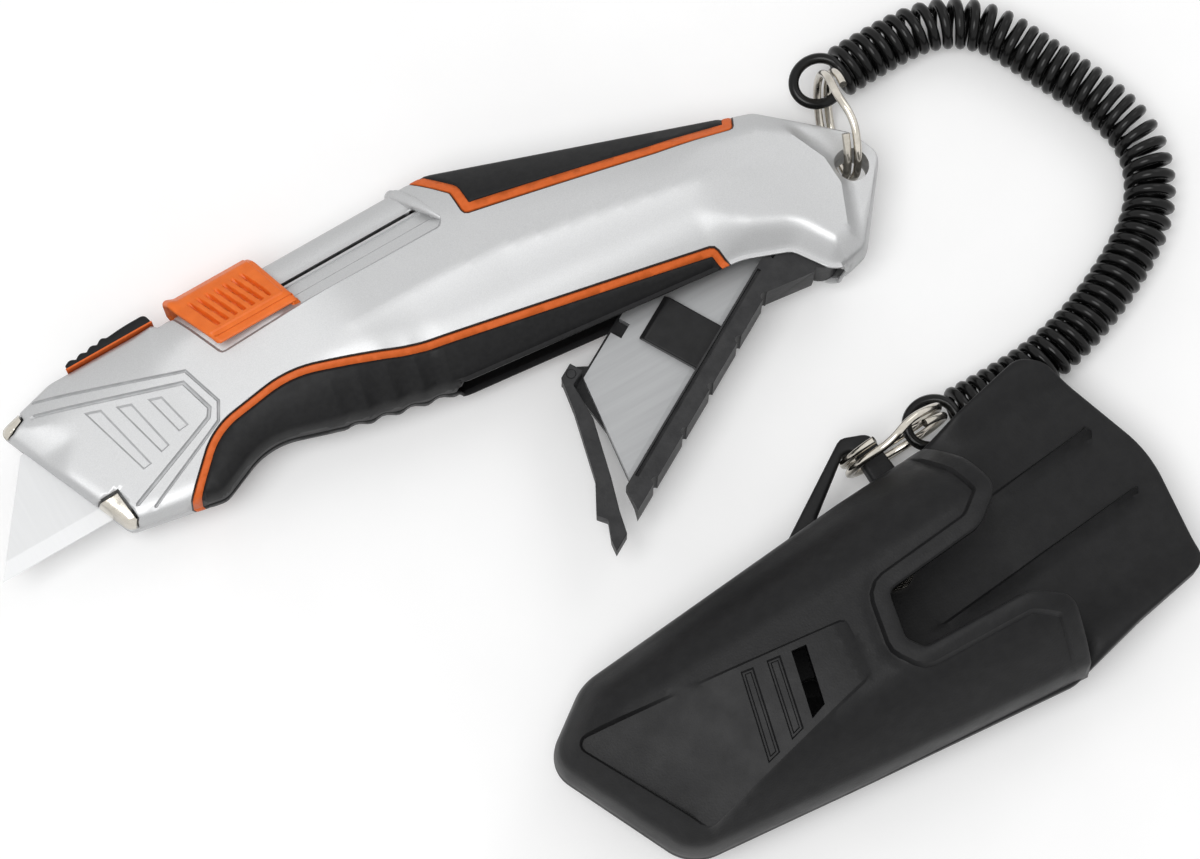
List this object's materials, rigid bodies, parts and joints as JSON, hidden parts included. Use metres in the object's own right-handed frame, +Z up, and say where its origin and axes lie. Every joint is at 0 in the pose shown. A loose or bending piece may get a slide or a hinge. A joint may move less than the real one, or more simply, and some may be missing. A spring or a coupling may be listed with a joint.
{
  "type": "utility knife",
  "caption": "Retractable utility knife with a thumb slider, swing-out spare blade drawer, soft grips, coiled lanyard on split rings and a moulded belt holster.",
  "frame": {"origin": "on the table under the middle of the handle, on the right body half's flat cheek", "axes": "+X along the blade slide from nose to tail, +Y from belly to spine, +Z up from the table"},
  "size_m": [0.2273, 0.1463, 0.0371],
  "materials": {
    "silver_paint": "satin silver",
    "blade_steel": "satin",
    "black_rubber": "matte",
    "orange_rubber": "matte",
    "orange_plastic": "satin",
    "black_plastic": "satin",
    "nickel": "polished",
    "cord_black": "gloss",
    "holster_black": "fine grain"
  },
  "bodies": {
    "knife": {"body_left": "silver_paint", "body_right": "silver_paint", "belly_border_left": "orange_rubber", "belly_border_right": "orange_rubber", "belly_grip_left": "black_rubber", "belly_grip_right": "black_rubber", "top_border_left": "orange_rubber", "top_border_right": "orange_rubber", "top_grip_left": "black_rubber", "top_grip_right": "black_rubber", "nose_pad_border": "orange_rubber", "nose_pad": "black_rubber", "body_screws": "nickel", "detent_spring": "blade_steel", "hinge_pin": "blade_steel", "lanyard_coil": "cord_black"},
    "slider": {"slider_button": "orange_plastic", "blade_carrier": "black_plastic", "blade": "blade_steel"},
    "drawer": {"drawer_tray": "black_plastic", "blade_clip": "black_plastic", "spare_blades": "blade_steel"},
    "latch": {"latch_arm": "black_plastic"},
    "tail_ring": {"knife_ring": "nickel"},
    "holster": {"holster_shell": "holster_black", "belt_clip": "holster_black", "clip_rivets": "nickel"},
    "eye_ring": {"holster_ring": "nickel"}
  },
  "joints": [
    {"name": "blade_slide", "type": "slide", "parent": "knife", "child": "slider", "axis": [1, 0, 0], "range_m": [0, 0.027]},
    {"name": "drawer_swing", "type": "hinge", "parent": "knife", "child": "drawer", "pos_m": [0.0535, -0.0245, 0.011], "axis": [0, 0, 1], "range_deg": [-35.7, 10]},
    {"name": "latch_flex", "type": "hinge", "parent": "drawer", "child": "latch", "pos_m": [0.00249, -0.02076, 0.011], "axis": [0, 0, 1], "range_deg": [-4, 4], "stiffness_Nm_per_rad": 0.2},
    {"name": "tail_ring_turn", "type": "hinge", "parent": "knife", "child": "tail_ring", "pos_m": [0.06967, -0.00465, 0.0108], "axis": [0.9485, -0.3045, -0.0872], "continuous": true},
    {"name": "holster_pull", "type": "slide", "parent": "knife", "child": "holster", "axis": [0, -1, 0], "range_m": [0, 0.12], "deforming": ["lanyard_coil"]},
    {"name": "eye_ring_turn", "type": "hinge", "parent": "holster", "child": "eye_ring", "pos_m": [0.0464, -0.0612, 0.011], "axis": [0, 0.9962, 0.0872], "continuous": true}
  ]
}
